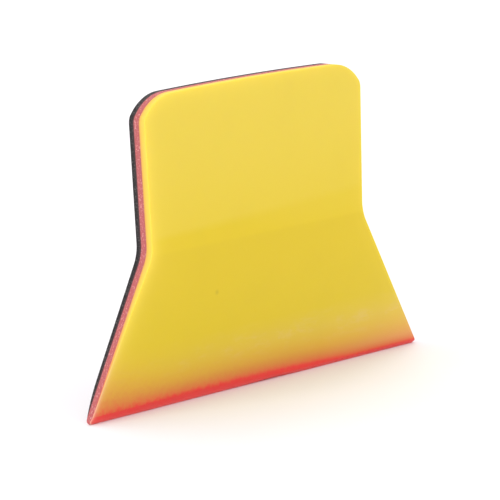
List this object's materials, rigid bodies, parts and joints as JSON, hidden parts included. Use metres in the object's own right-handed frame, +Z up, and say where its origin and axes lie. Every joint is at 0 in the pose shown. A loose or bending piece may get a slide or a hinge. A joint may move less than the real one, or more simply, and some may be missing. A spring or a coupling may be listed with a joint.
{
  "type": "squeegee applicator",
  "caption": "Hand squeegee applicator of bonded plies: a flared blade tapers to a thin straight edge below a waisted, round-cornered handle.",
  "frame": {"origin": "middle of the box's bottom, on the blade edge, halfway along the blade and halfway through the thickness", "axes": "+X along the blade edge to the right as seen from the front, +Y from the soft front ply to the back ply, +Z up from the blade edge to the handle"},
  "size_m": [0.1188, 0.0056, 0.079],
  "materials": {
    "front_ply": "smooth satin cast polyurethane, yellow and slightly translucent",
    "core_ply": "red cast polyurethane, smooth where ground, matte and finely speckled on its cut sides",
    "back_ply": "black cast polyurethane, satin, matte and finely speckled on its cut sides"
  },
  "bodies": {
    "root": {"front_ply": "front_ply", "core_ply": "core_ply", "back_ply": "back_ply"}
  },
  "joints": []
}
